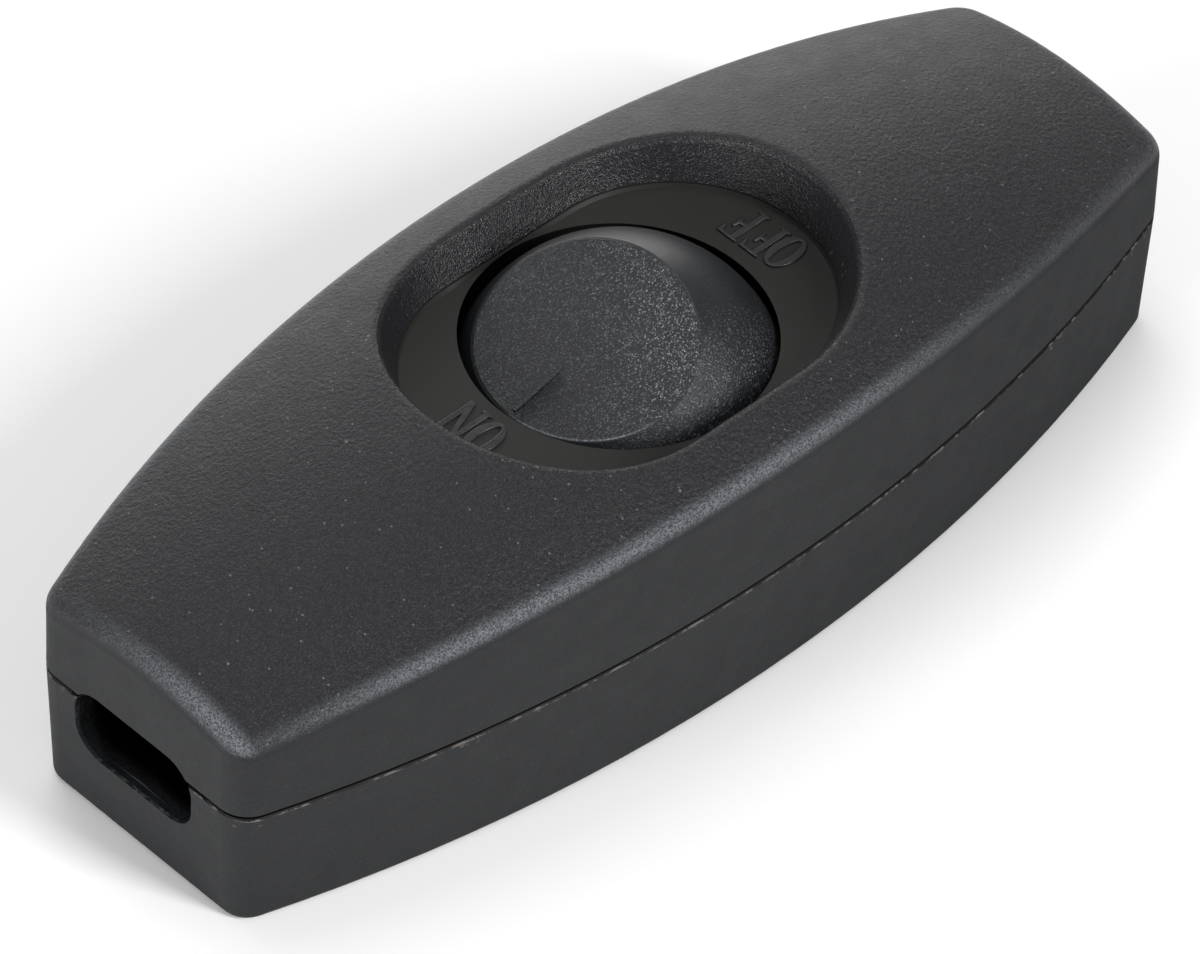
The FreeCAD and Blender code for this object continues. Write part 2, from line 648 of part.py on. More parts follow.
def rocker_button():
    """Hollow ball segment with a dished top, trunnions on ears and a post for the plunger."""
    solid = rocker_blank(0, ROCKER_SKIRT_HEIGHT).cut(dish_cylinder(DISH_RADIUS))
    under_dish = PIVOT_HEIGHT + DISH_HEIGHT - ROCKER_TOP_THICKNESS
    solid = round_edges(solid, DISH_EDGE_RADIUS, lambda edge: edge.BoundBox.ZMin > under_dish)
    void = rocker_blank(ROCKER_WALL, 0).cut(dish_cylinder(DISH_RADIUS + ROCKER_TOP_THICKNESS))
    shell = solid.cut(void)
    roof = dish_cylinder(DISH_RADIUS + ROCKER_TOP_THICKNESS / 2)
    stem = post(0, 0, PIVOT_HEIGHT + POST_FOOT_HEIGHT, SKY, POST_RADIUS).cut(roof)
    rib_foot = under_dish - RIB_DEPTH
    half = RIB_THICKNESS / 2
    ribs = box(-BALL_RADIUS, BALL_RADIUS, -half, half, rib_foot, SKY)
    ribs = ribs.common(rocker_blank(ROCKER_WALL / 2, 0)).cut(roof)
    pieces = [shell, stem, ribs, pointer_mark()]
    crest = PIVOT_HEIGHT + ROCKER_SKIRT_HEIGHT + ROCKER_WALL
    for side in (-1, 1):
        inner = side * (ROCKER_HALF_WIDTH - ROCKER_WALL)
        outer = side * ROCKER_HALF_WIDTH
        pieces.append(box(-ROCKER_EAR_RADIUS, ROCKER_EAR_RADIUS, inner, outer, PIVOT_HEIGHT, crest))
        pieces.append(cross_pin(PIVOT_HEIGHT, inner, outer, ROCKER_EAR_RADIUS))
        pieces.append(cross_pin(PIVOT_HEIGHT, inner, side * TRUNNION_END, TRUNNION_RADIUS))
    button = fuse(pieces)
    ceiling = PIVOT_HEIGHT + PLUNGER_SHOULDER_HEIGHT + SPRING_LENGTH
    bore = post(0, 0, 0, ceiling, PLUNGER_RADIUS + RUNNING_CLEARANCE)
    return tilted(button.cut(bore))


def plunger():
    """Stepped pin with a round nose, and a spigot that centres the spring."""
    shoulder = PIVOT_HEIGHT + PLUNGER_SHOULDER_HEIGHT
    nose_centre = PIVOT_HEIGHT - PLUNGER_REACH + PLUNGER_NOSE_RADIUS
    waist = nose_centre + PLUNGER_TAPER_LENGTH
    middle = Vector(0, 0, nose_centre)
    pieces = [
        Part.makeSphere(PLUNGER_NOSE_RADIUS, middle),
        Part.makeCone(PLUNGER_NOSE_RADIUS, PLUNGER_RADIUS, PLUNGER_TAPER_LENGTH, middle, Z_AXIS),
        post(0, 0, waist, shoulder, PLUNGER_RADIUS),
        post(0, 0, shoulder, shoulder + SPIGOT_LENGTH, SPIGOT_RADIUS),
    ]
    return tilted(fuse(pieces))


def rocker_spring():
    """Coil spring between the plunger's shoulder and the end of its bore."""
    start = PIVOT_HEIGHT + PLUNGER_SHOULDER_HEIGHT + SPRING_WIRE_RADIUS + SPRING_SEAT_GAP
    height = SPRING_LENGTH - 2 * (SPRING_WIRE_RADIUS + SPRING_SEAT_GAP)
    helix = Part.makeHelix(height / SPRING_TURNS, height, SPRING_RADIUS)
    helix.translate(Vector(0, 0, start))
    corners = []
    for i in range(SPRING_WIRE_SIDES + 1):
        angle = 2 * math.pi * i / SPRING_WIRE_SIDES
        x = SPRING_RADIUS + SPRING_WIRE_RADIUS * math.cos(angle)
        corners.append(Vector(x, 0, start + SPRING_WIRE_RADIUS * math.sin(angle)))
    section = Part.makePolygon(corners)
    coil = Part.Wire(helix.Edges).makePipeShell([section], True, True)
    return tilted(coil)


def contact_at_rest(shape):
    """Seesaw piece turned from level to its closed position."""
    return shape.rotated(SEESAW_PIVOT, Y_AXIS, SEESAW_TILT)


def contact_rocker():
    """Brass seesaw with two raised arms and a pivot pin on each side."""
    rise = SEESAW_HALF_LENGTH * math.tan(math.radians(SEESAW_TILT))
    line = [
        (-SEESAW_HALF_LENGTH, SEESAW_PIVOT_HEIGHT + rise),
        (0, SEESAW_PIVOT_HEIGHT),
        (SEESAW_HALF_LENGTH, SEESAW_PIVOT_HEIGHT + rise),
    ]
    half = SEESAW_WIDTH / 2
    blade = bent_strip(line, -half, half, SEESAW_THICKNESS, SEESAW_BEND_RADIUS)
    pin_end = YOKE_FACE + YOKE_THICKNESS + SEESAW_PIN_OVERHANG
    pin_root = half - SEESAW_PIN_RADIUS
    pins = [
        cross_pin(SEESAW_PIVOT_HEIGHT, -pin_end, -pin_root, SEESAW_PIN_RADIUS),
        cross_pin(SEESAW_PIVOT_HEIGHT, pin_root, pin_end, SEESAW_PIN_RADIUS),
    ]
    blade = contact_at_rest(fuse([blade] + pins))
    hole = post(BUTTON_X, 0, 0, SKY, RIVET_RADIUS + RIVET_CLEARANCE)
    return blade.cut(hole)


def moving_contact():
    """Contact button riveted under the seesaw's closing arm."""
    under = SEESAW_PIVOT_HEIGHT - SEESAW_THICKNESS / 2
    head = post(BUTTON_X, 0, under - BUTTON_HEIGHT, under, BUTTON_RADIUS)
    rivet = post(BUTTON_X, 0, under - BUTTON_HEIGHT, under + SEESAW_THICKNESS, RIVET_RADIUS)
    return fuse([head, rivet])


def fixed_contact():
    """Contact button riveted on the load terminal."""
    head = post(BUTTON_X, 0, STRIP_TOP, FIXED_BUTTON_TOP, BUTTON_RADIUS)
    rivet = post(BUTTON_X, 0, FLOOR_THICKNESS, FIXED_BUTTON_TOP, RIVET_RADIUS)
    return fuse([head, rivet])


def terminal_pad(sx, sy, inner_x):
    """Raised pad for a screw, its leg down to the floor and the strip along the floor to inner_x."""
    middle = FLOOR_THICKNESS + STRIP_THICKNESS / 2
    upper = PAD_HEIGHT + STRIP_THICKNESS / 2
    leg = LEG_X - STRIP_THICKNESS / 2
    y = sy * TERMINAL_Y
    tip = TERMINAL_X + PAD_LENGTH / 2
    line = [(sx * inner_x, middle), (sx * leg, middle), (sx * leg, upper), (sx * tip, upper)]
    half = STRIP_WIDTH / 2
    strip = bent_strip(line, y - half, y + half, STRIP_THICKNESS, STRIP_BEND_RADIUS)
    half = PAD_WIDTH / 2
    pad = box(sx * (LEG_X + STRIP_BEND_RADIUS), sx * tip, y - half, y + half, PAD_HEIGHT, PAD_TOP)
    hole = post(sx * TERMINAL_X, y, 0, SKY, TERMINAL_SCREW_RADIUS + SCREW_CLEARANCE)
    return fuse([strip, pad]).cut(hole)


def line_terminal():
    """Terminal on the -X side, with the yoke that carries the seesaw's pins."""
    outer = TERMINAL_Y + STRIP_WIDTH / 2
    inner = YOKE_FACE + YOKE_THICKNESS
    half = YOKE_WIDTH / 2
    carrier = box(-half, half, -inner, outer, FLOOR_THICKNESS, STRIP_TOP)
    pieces = [terminal_pad(-1, 1, half), carrier]
    crest = SEESAW_PIVOT_HEIGHT + YOKE_MARGIN
    for side in (-1, 1):
        face = side * YOKE_FACE
        back = side * inner
        pieces.append(box(-half, half, face, back, FLOOR_THICKNESS, SEESAW_PIVOT_HEIGHT))
        pieces.append(box(-YOKE_MARGIN, YOKE_MARGIN, face, back, FLOOR_THICKNESS, crest))
    hole = cross_pin(SEESAW_PIVOT_HEIGHT, -MID_WIDTH, MID_WIDTH, SEESAW_PIN_RADIUS + RUNNING_CLEARANCE)
    return fuse(pieces).cut(hole)


def load_terminal():
    """Terminal on the +X side, with the tongue that carries the fixed contact."""
    outer = TERMINAL_Y + STRIP_WIDTH / 2
    half = CARRIER_WIDTH / 2
    carrier = box(BUTTON_X - half, BUTTON_X + half, -half, outer, FLOOR_THICKNESS, STRIP_TOP)
    hole = post(BUTTON_X, 0, 0, SKY, RIVET_RADIUS + RIVET_CLEARANCE)
    return fuse([terminal_pad(1, 1, BUTTON_X), carrier]).cut(hole)


def neutral_terminal():
    """Straight-through terminal that joins the other conductor of both cords."""
    return fuse([terminal_pad(-1, -1, 0), terminal_pad(1, -1, 0)])


def slotted_screw(x, y, seat, head, shank):
    """Cheese-head screw on its seat, slotted for a driver; head and shank are (radius, length)."""
    head_radius, head_height = head
    radius, length = shank
    top = seat + head_height
    cap = post(x, y, seat, top, head_radius)
    cap = bevel_edges(cap, HEAD_BEVEL, lambda edge: edge.BoundBox.ZMin > seat)
    stem = post(x, y, seat - length, seat, radius)
    stem = bevel_edges(stem, TIP_BEVEL, lambda edge: edge.BoundBox.ZMax < seat - length / 2)
    half = SCREW_SLOT_WIDTH / 2
    slot = box(x - head_radius, x + head_radius, y - half, y + half, top - SCREW_SLOT_DEPTH, top)
    return fuse([cap, stem]).cut(slot)


def housing_screw(sx):
    """Screw that holds both shells together, driven up from the base."""
    x = sx * HOUSING_SCREW_X
    head = (HOUSING_HEAD_RADIUS, HOUSING_HEAD_HEIGHT)
    screw = slotted_screw(x, 0, 0, head, (HOUSING_SCREW_RADIUS, HOUSING_SCREW_LENGTH))
    screw = screw.rotated(Vector(x, 0, 0), X_AXIS, 180)
    return screw.translated(Vector(0, 0, HOUSING_HEAD_RECESS + HOUSING_HEAD_HEIGHT))


def clamp_screw(sx, sy):
    """Screw at one end of a cord clamp."""
    seat = CLAMP_SEAT + CLAMP_THICKNESS
    head = (CLAMP_HEAD_RADIUS, CLAMP_HEAD_HEIGHT)
    shank = (CLAMP_SCREW_RADIUS, CLAMP_SCREW_LENGTH)
    return slotted_screw(sx * CLAMP_X, sy * CLAMP_SCREW_Y, seat, head, shank)


def terminal_screw(sx, sy):
    """Screw on one terminal pad."""
    head = (TERMINAL_HEAD_RADIUS, TERMINAL_HEAD_HEIGHT)
    shank = (TERMINAL_SCREW_RADIUS, TERMINAL_SCREW_LENGTH)
    return slotted_screw(sx * TERMINAL_X, sy * TERMINAL_Y, PAD_TOP, head, shank)


def cord_clamp(sx):
    """Moulded bar over the cord, with a stiffening rib between its two screws."""
    x = sx * CLAMP_X
    half = CLAMP_WIDTH / 2
    ends = [(-half, -1), (half, -1), (half, 1), (-half, 1)]
    corners = [Vector(x + dx, end * CLAMP_HALF_LENGTH, CLAMP_SEAT) for dx, end in ends]
    bar = polygon_face(corners, [CLAMP_CORNER_RADIUS] * 4).extrude(Vector(0, 0, CLAMP_THICKNESS))
    bar = bar.common(plan_block(WALL + 2 * JOINT_CLEARANCE, 0, SKY))
    reach = CLAMP_SCREW_Y - CLAMP_HEAD_RADIUS - 2 * JOINT_CLEARANCE
    top = CLAMP_SEAT + CLAMP_THICKNESS + CLAMP_RIB_HEIGHT
    rib = box(x - CLAMP_RIB_WIDTH / 2, x + CLAMP_RIB_WIDTH / 2, -reach, reach, CLAMP_SEAT, top)
    clamp = fuse([bar, rib])
    for sy in (-1, 1):
        clamp = clamp.cut(post(x, sy * CLAMP_SCREW_Y, 0, SKY, CLAMP_SCREW_RADIUS + SCREW_CLEARANCE))
    return clamp


def build():
    """Every piece of the switch by name."""
    pieces = {
        "top_cover": top_cover(),
        "bottom_cover": bottom_cover(),
        "rocker_button": rocker_button(),
        "plunger": plunger(),
        "rocker_spring": rocker_spring(),
        "contact_rocker": contact_rocker(),
        "moving_contact": moving_contact(),
        "fixed_contact": fixed_contact(),
        "line_terminal": line_terminal(),
        "load_terminal": load_terminal(),
        "neutral_terminal": neutral_terminal(),
        "line_terminal_screw": terminal_screw(-1, 1),
        "load_terminal_screw": terminal_screw(1, 1),
        "neutral_screw_in": terminal_screw(-1, -1),
        "neutral_screw_out": terminal_screw(1, -1),
    }
    for name, sx in (("in", -1), ("out", 1)):
        pieces["cord_clamp_" + name] = cord_clamp(sx)
        pieces["clamp_screw_" + name + "_near"] = clamp_screw(sx, -1)
        pieces["clamp_screw_" + name + "_far"] = clamp_screw(sx, 1)
        pieces["housing_screw_" + name] = housing_screw(sx)
    return pieces


os.makedirs("parts", exist_ok=True)
for name, shape in build().items():
    if not shape.isValid() or len(shape.Solids) != 1:
        print("check", name, "valid", shape.isValid(), "solids", len(shape.Solids))
    shape.Solids[0].exportStep("parts/" + name + ".step")
    extent = shape.BoundBox
    print(name, "volume", round(shape.Volume, 2), "z", round(extent.ZMin, 2), round(extent.ZMax, 2))
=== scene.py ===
"""Looks of the inline cord switch: moulded plastics, raised lettering, metals, studio and camera."""

import json
import math

import bpy
from mathutils import Matrix, Vector


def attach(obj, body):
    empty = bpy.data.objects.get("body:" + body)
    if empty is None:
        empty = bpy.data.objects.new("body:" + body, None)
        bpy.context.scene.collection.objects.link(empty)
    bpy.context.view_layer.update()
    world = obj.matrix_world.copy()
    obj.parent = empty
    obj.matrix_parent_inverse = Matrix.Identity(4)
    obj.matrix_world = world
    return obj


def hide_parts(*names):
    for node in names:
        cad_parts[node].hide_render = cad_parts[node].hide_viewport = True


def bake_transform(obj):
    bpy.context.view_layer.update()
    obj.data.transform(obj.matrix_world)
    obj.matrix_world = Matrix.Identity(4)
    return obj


MM = 0.001

# Camera, as found from the photograph's outline; lens and sensor in millimetres, clipping in metres
CAMERA_AZIMUTH = math.radians(45.924)
CAMERA_ELEVATION = math.radians(45.005)
CAMERA_ROLL = math.radians(2.616)
CAMERA_DISTANCE = 484.74 * MM
CAMERA_AIM = Vector((0, 0, 5.53 * MM))
CAMERA_OFFSET = (0.6444 * MM, 0.9916 * MM)
CAMERA_LENS = 295.14
CAMERA_SENSOR = 36
CAMERA_CLIP = (0.01, 20)

# Studio: strength of the white surround, and the floor's half size in metres and its place under the base in
# millimetres, so that the two don't coincide
WORLD_STRENGTH = 0.36
FLOOR_HALF_SIZE = 4.0
FLOOR_GAP = 0.02

# Softboxes: azimuth from +X and elevation in degrees, distance, width and height in metres, and watts
SOFTBOXES = {
    "overhead": (75, 70, 1.0, (0.5, 0.5), 2.4),
    "back_right": (54, 15, 1.0, (0.9, 0.28), 3.0),
    "back_low": (54, 7, 1.0, (0.9, 0.12), 0.5),
    "left": (180, 17, 1.0, (0.5, 0.35), 8.4),
    "front_right": (284, 34, 1.0, (0.25, 0.45), 8.1),
}

# Housing in millimetres, by which the plastic tells its surfaces apart: heights are from the base, and the
# sides are arcs of SIDE_RADIUS
HALF_LENGTH = 31.6
HALF_WIDTH = 12.25
SIDE_RADIUS = 99.5
SHOULDER_LOW = 9.0
SHOULDER_HIGH = 10.0
RECESS_LOW = 11.0
RECESS_FLOOR = 13.9
RECESS_ARC_OFFSET = 4.1
RECESS_REACH = 10.6
SLOT_HALF_WIDTH = 4.8
SLOT_LOW = 3.2
SLOT_HIGH = 8.8
SLOT_START = 27.0
# SLOT_DARK and SLOT_LIT: distances from the middle along the slot within which its painted shade is full,
# and beyond which there is none
SLOT_DARK = 30.0
SLOT_LIT = 31.0
SEAM_LOW = 7.32
SEAM_HIGH = 7.48

# Rocker in millimetres and degrees: its ball, and the rounding of its rim
BALL_RADIUS = 8.617
BALL_CENTRE = (0.0, -0.18, 9.45)
RIM_RADIUS = 0.12
RIM_ANGLE = 35

# Housing's surfaces: heights of its grain, finer grain and waves in millimetres, shares of dust (which on
# the recess wall paints glints) and of flecks, and roughness, to which the sides add their own, less at -X
# than at +X
GRAIN_HEIGHTS = {"top": 0.095, "edge": 0.04, "wall": 0.06, "side": 0.014, "floor": 0.003}
FINE_HEIGHTS = {"top": 0.016, "wall": 0.05, "side": 0.012}
WAVE_HEIGHTS = {"slot": 0.3, "side": 0.015}
DUST_AND_GLINT_SHARES = {"top": 1.0, "side": 0.12, "wall": 0.65}
FLECK_SHARES = {"top": 1.0, "wall": 0.5, "side": 0.35}
ROUGHNESSES = {"top": 0.43, "wall": 0.22, "floor": 0.42, "slot": -0.5, "edge": -0.08}
SIDE_ROUGHNESSES = (0.6, 0.9)
LEAST_ROUGHNESS = 0.13
HOUSING_SPECULAR = 0.25

# Rocker's surfaces: heights of the grit in millimetres and roughness
BALL_GRIT_HEIGHT = 0.008
DISH_GRIT_HEIGHT = 0.11
BALL_ROUGHNESS = 0.4
DISH_ROUGHNESS = 0.36
ROCKER_SPECULAR = 0.4

# Sizes of the plastics' noises in millimetres
GRAIN_SIZE = 0.24
FINE_SIZE = 0.09
WAVE_SIZE = 1.6
FLECK_SIZE = 0.075
RAGGED_SIZE = 0.7
FLAKE_SIZE = 0.06
GRIT_SIZE = 0.11

# Specks: spacing and radius in millimetres, and the share of the points that have one; the dust specks also
# paint glints on the recess wall, and the rocker's specks are painted glints
FINE_DUST_AND_GLINTS = (0.5, 0.07, 0.4)
COARSE_DUST_AND_GLINTS = (1.5, 0.1, 0.25)
PAINTED_GLINT_SPECKS = (0.2, 0.045, 0.3)

# Colours, linear
TOP_BLACK = (0.0115, 0.0115, 0.0128)
FLOOR_BLACK = (0.0172, 0.017, 0.0158)
SIDE_BLACK = (0.0105, 0.0112, 0.0122)
# Painted shade, for the seam and for the slot's far part
PAINTED_SHADE_BLACK = (0.0008, 0.0008, 0.0008)
FLECK_GREY = (0.036, 0.038, 0.042)
# Dust, and painted glints on the recess wall
DUST_AND_GLINT_GREY = (0.1, 0.103, 0.105)
# Painted highlight on the crown's edge
EDGE_HIGHLIGHT_GREY = (0.125, 0.133, 0.147)
# Burred and scuffed lower lip, with a painted highlight
BURR_AND_HIGHLIGHT_GREY = (0.15, 0.135, 0.12)
ROCKER_BLACK = (0.0095, 0.0105, 0.012)
# Painted glints and rim highlight on the rocker
GLINT_GREY = (0.22, 0.235, 0.26)
LETTER_BLACK = (0.02, 0.02, 0.021)
STUDIO_WHITE = (0.9, 0.9, 0.9)

# Raised lettering on the recess floor, in millimetres, and the angle in degrees that its shading keeps sharp
LETTER_RISE = 0.12
LETTER_EDGE = 0.05
LETTER_ANGLE = 40
O_HALF_WIDTH = 0.78
O_HALF_HEIGHT = 1.3
O_INNER_HALF_WIDTH = 0.32
O_INNER_HALF_HEIGHT = 1.08
F_OUTLINE = [
    (-0.05, 0), (0.62, 0), (0.62, 0.14), (0.45, 0.2), (0.45, 1.2), (0.74, 1.2), (0.78, 0.9),
    (0.92, 0.9), (0.92, 1.75), (0.78, 1.75), (0.74, 1.42), (0.45, 1.42), (0.45, 2.3), (0.95, 2.3),
    (1.1, 1.85), (1.25, 1.85), (1.2, 2.5), (-0.05, 2.5), (-0.05, 2.36), (0.1, 2.3), (0.1, 0.2),
    (-0.05, 0.14),
]
N_OUTLINE = [
    (-0.05, 0), (0.55, 0), (0.55, 0.13), (0.4, 0.2), (0.4, 1.95), (1.12, 0), (1.45, 0),
    (1.45, 2.4), (1.6, 2.47), (1.6, 2.6), (1.0, 2.6), (1.0, 2.47), (1.15, 2.4), (1.15, 0.85),
    (0.45, 2.6), (-0.05, 2.6), (-0.05, 2.47), (0.1, 2.4), (0.1, 0.2), (-0.05, 0.13),
]

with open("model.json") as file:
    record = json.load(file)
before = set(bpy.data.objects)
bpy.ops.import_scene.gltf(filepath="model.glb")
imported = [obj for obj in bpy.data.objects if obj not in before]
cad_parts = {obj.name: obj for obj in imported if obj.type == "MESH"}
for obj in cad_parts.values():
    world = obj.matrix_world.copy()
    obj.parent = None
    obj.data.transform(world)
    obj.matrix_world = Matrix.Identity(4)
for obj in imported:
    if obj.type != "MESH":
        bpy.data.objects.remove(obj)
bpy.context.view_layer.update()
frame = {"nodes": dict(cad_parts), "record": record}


class Recipe:
    """A Principled material in the making, with short calls for the nodes that it uses.

    Coordinates are the object's own, in millimetres.
    """

    def __init__(self, name):
        self.material = bpy.data.materials.new(name)
        self.material.use_nodes = True
        self.tree = self.material.node_tree
        self.shader = self.tree.nodes["Principled BSDF"]
        source = self.tree.nodes.new("ShaderNodeTexCoord")
        self.normal = source.outputs["Normal"]
        scale = self.tree.nodes.new("ShaderNodeVectorMath")
        scale.operation = "SCALE"
        scale.inputs["Scale"].default_value = 1 / MM
        self.tree.links.new(source.outputs["Object"], scale.inputs[0])
        self.place = scale.outputs["Vector"]

    def put(self, value, target):
        """Sets or links a number, colour or socket."""
        if isinstance(value, bpy.types.NodeSocket):
            self.tree.links.new(value, target)
        else:
            target.default_value = value

    def put_colour(self, value, target):
        """Sets or links a colour of three numbers or a socket."""
        self.put(value if isinstance(value, bpy.types.NodeSocket) else (*value, 1), target)

    def axes(self, vector):
        """The vector's three components."""
        split = self.tree.nodes.new("ShaderNodeSeparateXYZ")
        self.tree.links.new(vector, split.inputs[0])
        return split.outputs["X"], split.outputs["Y"], split.outputs["Z"]

    def maths(self, operation, *values):
        """Result of one operation on numbers or sockets."""
        node = self.tree.nodes.new("ShaderNodeMath")
        node.operation = operation
        for value, target in zip(values, node.inputs):
            self.put(value, target)
        return node.outputs["Value"]

    def product(self, first, *others):
        """Product of masks or numbers."""
        result = first
        for other in others:
            result = self.maths("MULTIPLY", result, other)
        return result

    def total(self, pairs):
        """Sum of masks times their amounts."""
        result = 0.0
        for mask, amount in pairs:
            result = self.maths("MULTIPLY_ADD", mask, amount, result)
        return result

    def spread(self, masks, amounts):
        """Sum of the named masks times the amounts given by name."""
        return self.total([(masks[name], amount) for name, amount in amounts.items()])

    def length(self, first, second):
        """Length of the vector with those two components."""
        squares = self.maths("MULTIPLY_ADD", first, first, self.maths("MULTIPLY", second, second))
        return self.maths("SQRT", squares)

    def distance(self, point):
        """Distance from that point in millimetres."""
        node = self.tree.nodes.new("ShaderNodeVectorMath")
        node.operation = "DISTANCE"
        self.tree.links.new(self.place, node.inputs[0])
        node.inputs[1].default_value = point
        return node.outputs["Value"]

    def ramp(self, value, low, high, first=0.0, last=1.0, smooth=True):
        """Value led from first to last while it goes from low to high."""
        node = self.tree.nodes.new("ShaderNodeMapRange")
        node.interpolation_type = "SMOOTHSTEP" if smooth else "LINEAR"
        self.put(value, node.inputs["Value"])
        node.inputs["From Min"].default_value = low
        node.inputs["From Max"].default_value = high
        node.inputs["To Min"].default_value = first
        node.inputs["To Max"].default_value = last
        return node.outputs["Result"]

    def within(self, value, low, high, soft=0.05):
        """One between low and high, nought outside."""
        above = self.ramp(value, low - soft, low + soft)
        below = self.ramp(value, high + soft, high - soft)
        return self.product(above, below)

    def noise(self, size, detail=3.0, roughness=0.5, distortion=0.0):
        """Cloudy noise with features of that size."""
        node = self.tree.nodes.new("ShaderNodeTexNoise")
        self.tree.links.new(self.place, node.inputs["Vector"])
        node.inputs["Scale"].default_value = 1 / size
        node.inputs["Detail"].default_value = detail
        node.inputs["Roughness"].default_value = roughness
        node.inputs["Distortion"].default_value = distortion
        return node.outputs["Fac"]

    def cells(self, size):
        """Distance to the nearest of points spread at that size, in millimetres, and a number for each."""
        node = self.tree.nodes.new("ShaderNodeTexVoronoi")
        self.tree.links.new(self.place, node.inputs["Vector"])
        node.inputs["Scale"].default_value = 1 / size
        distance = self.product(node.outputs["Distance"], size)
        chance = self.axes(node.outputs["Color"])[0]
        return distance, chance

    def specks(self, spacing, radius, share):
        """Mask of small round dots, on that share of the points."""
        distance, chance = self.cells(spacing)
        dot = self.ramp(distance, radius, radius * 0.6)
        return self.product(dot, self.ramp(chance, 1 - share, 1 - share + 0.02))

    def tint(self, factor, first, second):
        """Colour mixed from first to second."""
        node = self.tree.nodes.new("ShaderNodeMix")
        node.data_type = "RGBA"
        self.put(factor, node.inputs["Factor"])
        self.put_colour(first, node.inputs[6])
        self.put_colour(second, node.inputs[7])
        return node.outputs[2]

    def relief(self, height):
        """Bump of the given height in millimetres."""
        node = self.tree.nodes.new("ShaderNodeBump")
        node.inputs["Strength"].default_value = 1.0
        node.inputs["Distance"].default_value = MM
        self.tree.links.new(height, node.inputs["Height"])
        self.tree.links.new(node.outputs["Normal"], self.shader.inputs["Normal"])

    def finish(self, colour, roughness, specular=0.5):
        """Sets the shader's colour, roughness and specular level."""
        self.put_colour(colour, self.shader.inputs["Base Color"])
        self.put(roughness, self.shader.inputs["Roughness"])
        self.shader.inputs["Specular IOR Level"].default_value = specular
        return self.material


def surface_masks(recipe, x, y, z):
    """Masks of the housing's surfaces by name; the slot lies in the side, edge in top, and the slot's far
    part, where shade is painted, in the slot.
    """
    along = recipe.maths("ABSOLUTE", x)
    endward, _, rise = recipe.axes(recipe.normal)
    beyond = recipe.maths("MAXIMUM", recipe.maths("SUBTRACT", along, RECESS_ARC_OFFSET), 0.0)
    recess = recipe.product(
        recipe.ramp(recipe.length(beyond, y), RECESS_REACH + 0.3, RECESS_REACH - 0.3),
        recipe.ramp(z, RECESS_LOW, RECESS_LOW + 0.2),
    )
    floor = recipe.product(recess, recipe.ramp(z, RECESS_FLOOR + 0.3, RECESS_FLOOR + 0.2))
    wall = recipe.product(recipe.maths("SUBTRACT", recess, floor), recipe.ramp(rise, 0.9, 0.75))
    upper = recipe.product(recipe.ramp(rise, 0.15, 0.6), recipe.ramp(z, SHOULDER_LOW, SHOULDER_HIGH))
    top = recipe.maths("SUBTRACT", recipe.maths("SUBTRACT", upper, floor), wall)
    top = recipe.maths("MAXIMUM", top, 0.0)
    slot = recipe.product(
        recipe.ramp(recipe.maths("ABSOLUTE", y), SLOT_HALF_WIDTH + 0.05, SLOT_HALF_WIDTH - 0.05),
        recipe.within(z, SLOT_LOW, SLOT_HIGH),
        recipe.ramp(along, SLOT_START, SLOT_START + 0.1),
        recipe.ramp(recipe.maths("ABSOLUTE", endward), 0.97, 0.85),
    )
    return {
        "floor": floor,
        "wall": wall,
        "top": top,
        "edge": recipe.product(top, recipe.ramp(rise, 0.96, 0.86)),
        "side": recipe.maths("SUBTRACT", 1.0, recipe.maths("MAXIMUM", upper, recess)),
        "slot": slot,
        # Slot's far part, which is painted black as shade
        "slot_shade": recipe.product(slot, recipe.ramp(along, SLOT_LIT, SLOT_DARK)),
    }


def painted_edge_highlight(recipe, x, y, z):
    """Mask of the painted highlight along the crown's edge, by the distance in from the plan's outline and
    the place along it.
    """
    rise = recipe.axes(recipe.normal)[2]
    from_centre = recipe.maths("ADD", recipe.maths("ABSOLUTE", y), SIDE_RADIUS - HALF_WIDTH)
    from_side = recipe.maths("SUBTRACT", SIDE_RADIUS, recipe.length(from_centre, x))
    from_end = recipe.maths("SUBTRACT", HALF_LENGTH, recipe.maths("ABSOLUTE", x))
    long_edge = recipe.product(
        recipe.within(from_side, 0.0, 0.65, 0.4),
        recipe.ramp(x, -31, -20, 0.2, 1.0),
        recipe.ramp(x, -4, 20, 1.0, 0.15),
        recipe.ramp(y, 3, -3, 0.7, 1.0),
    )
    short_edge = recipe.product(
        recipe.within(from_end, 0.15, 0.95, 0.4),
        recipe.ramp(y, 6, -6, 0.1, 1.0),
        recipe.ramp(x, -5, 5, 1.0, 0.3),
    )
    return recipe.product(
        recipe.maths("MAXIMUM", long_edge, short_edge),
        recipe.ramp(rise, 0.2, 0.6),
        recipe.ramp(z, SHOULDER_LOW - 0.4, SHOULDER_LOW),
    )


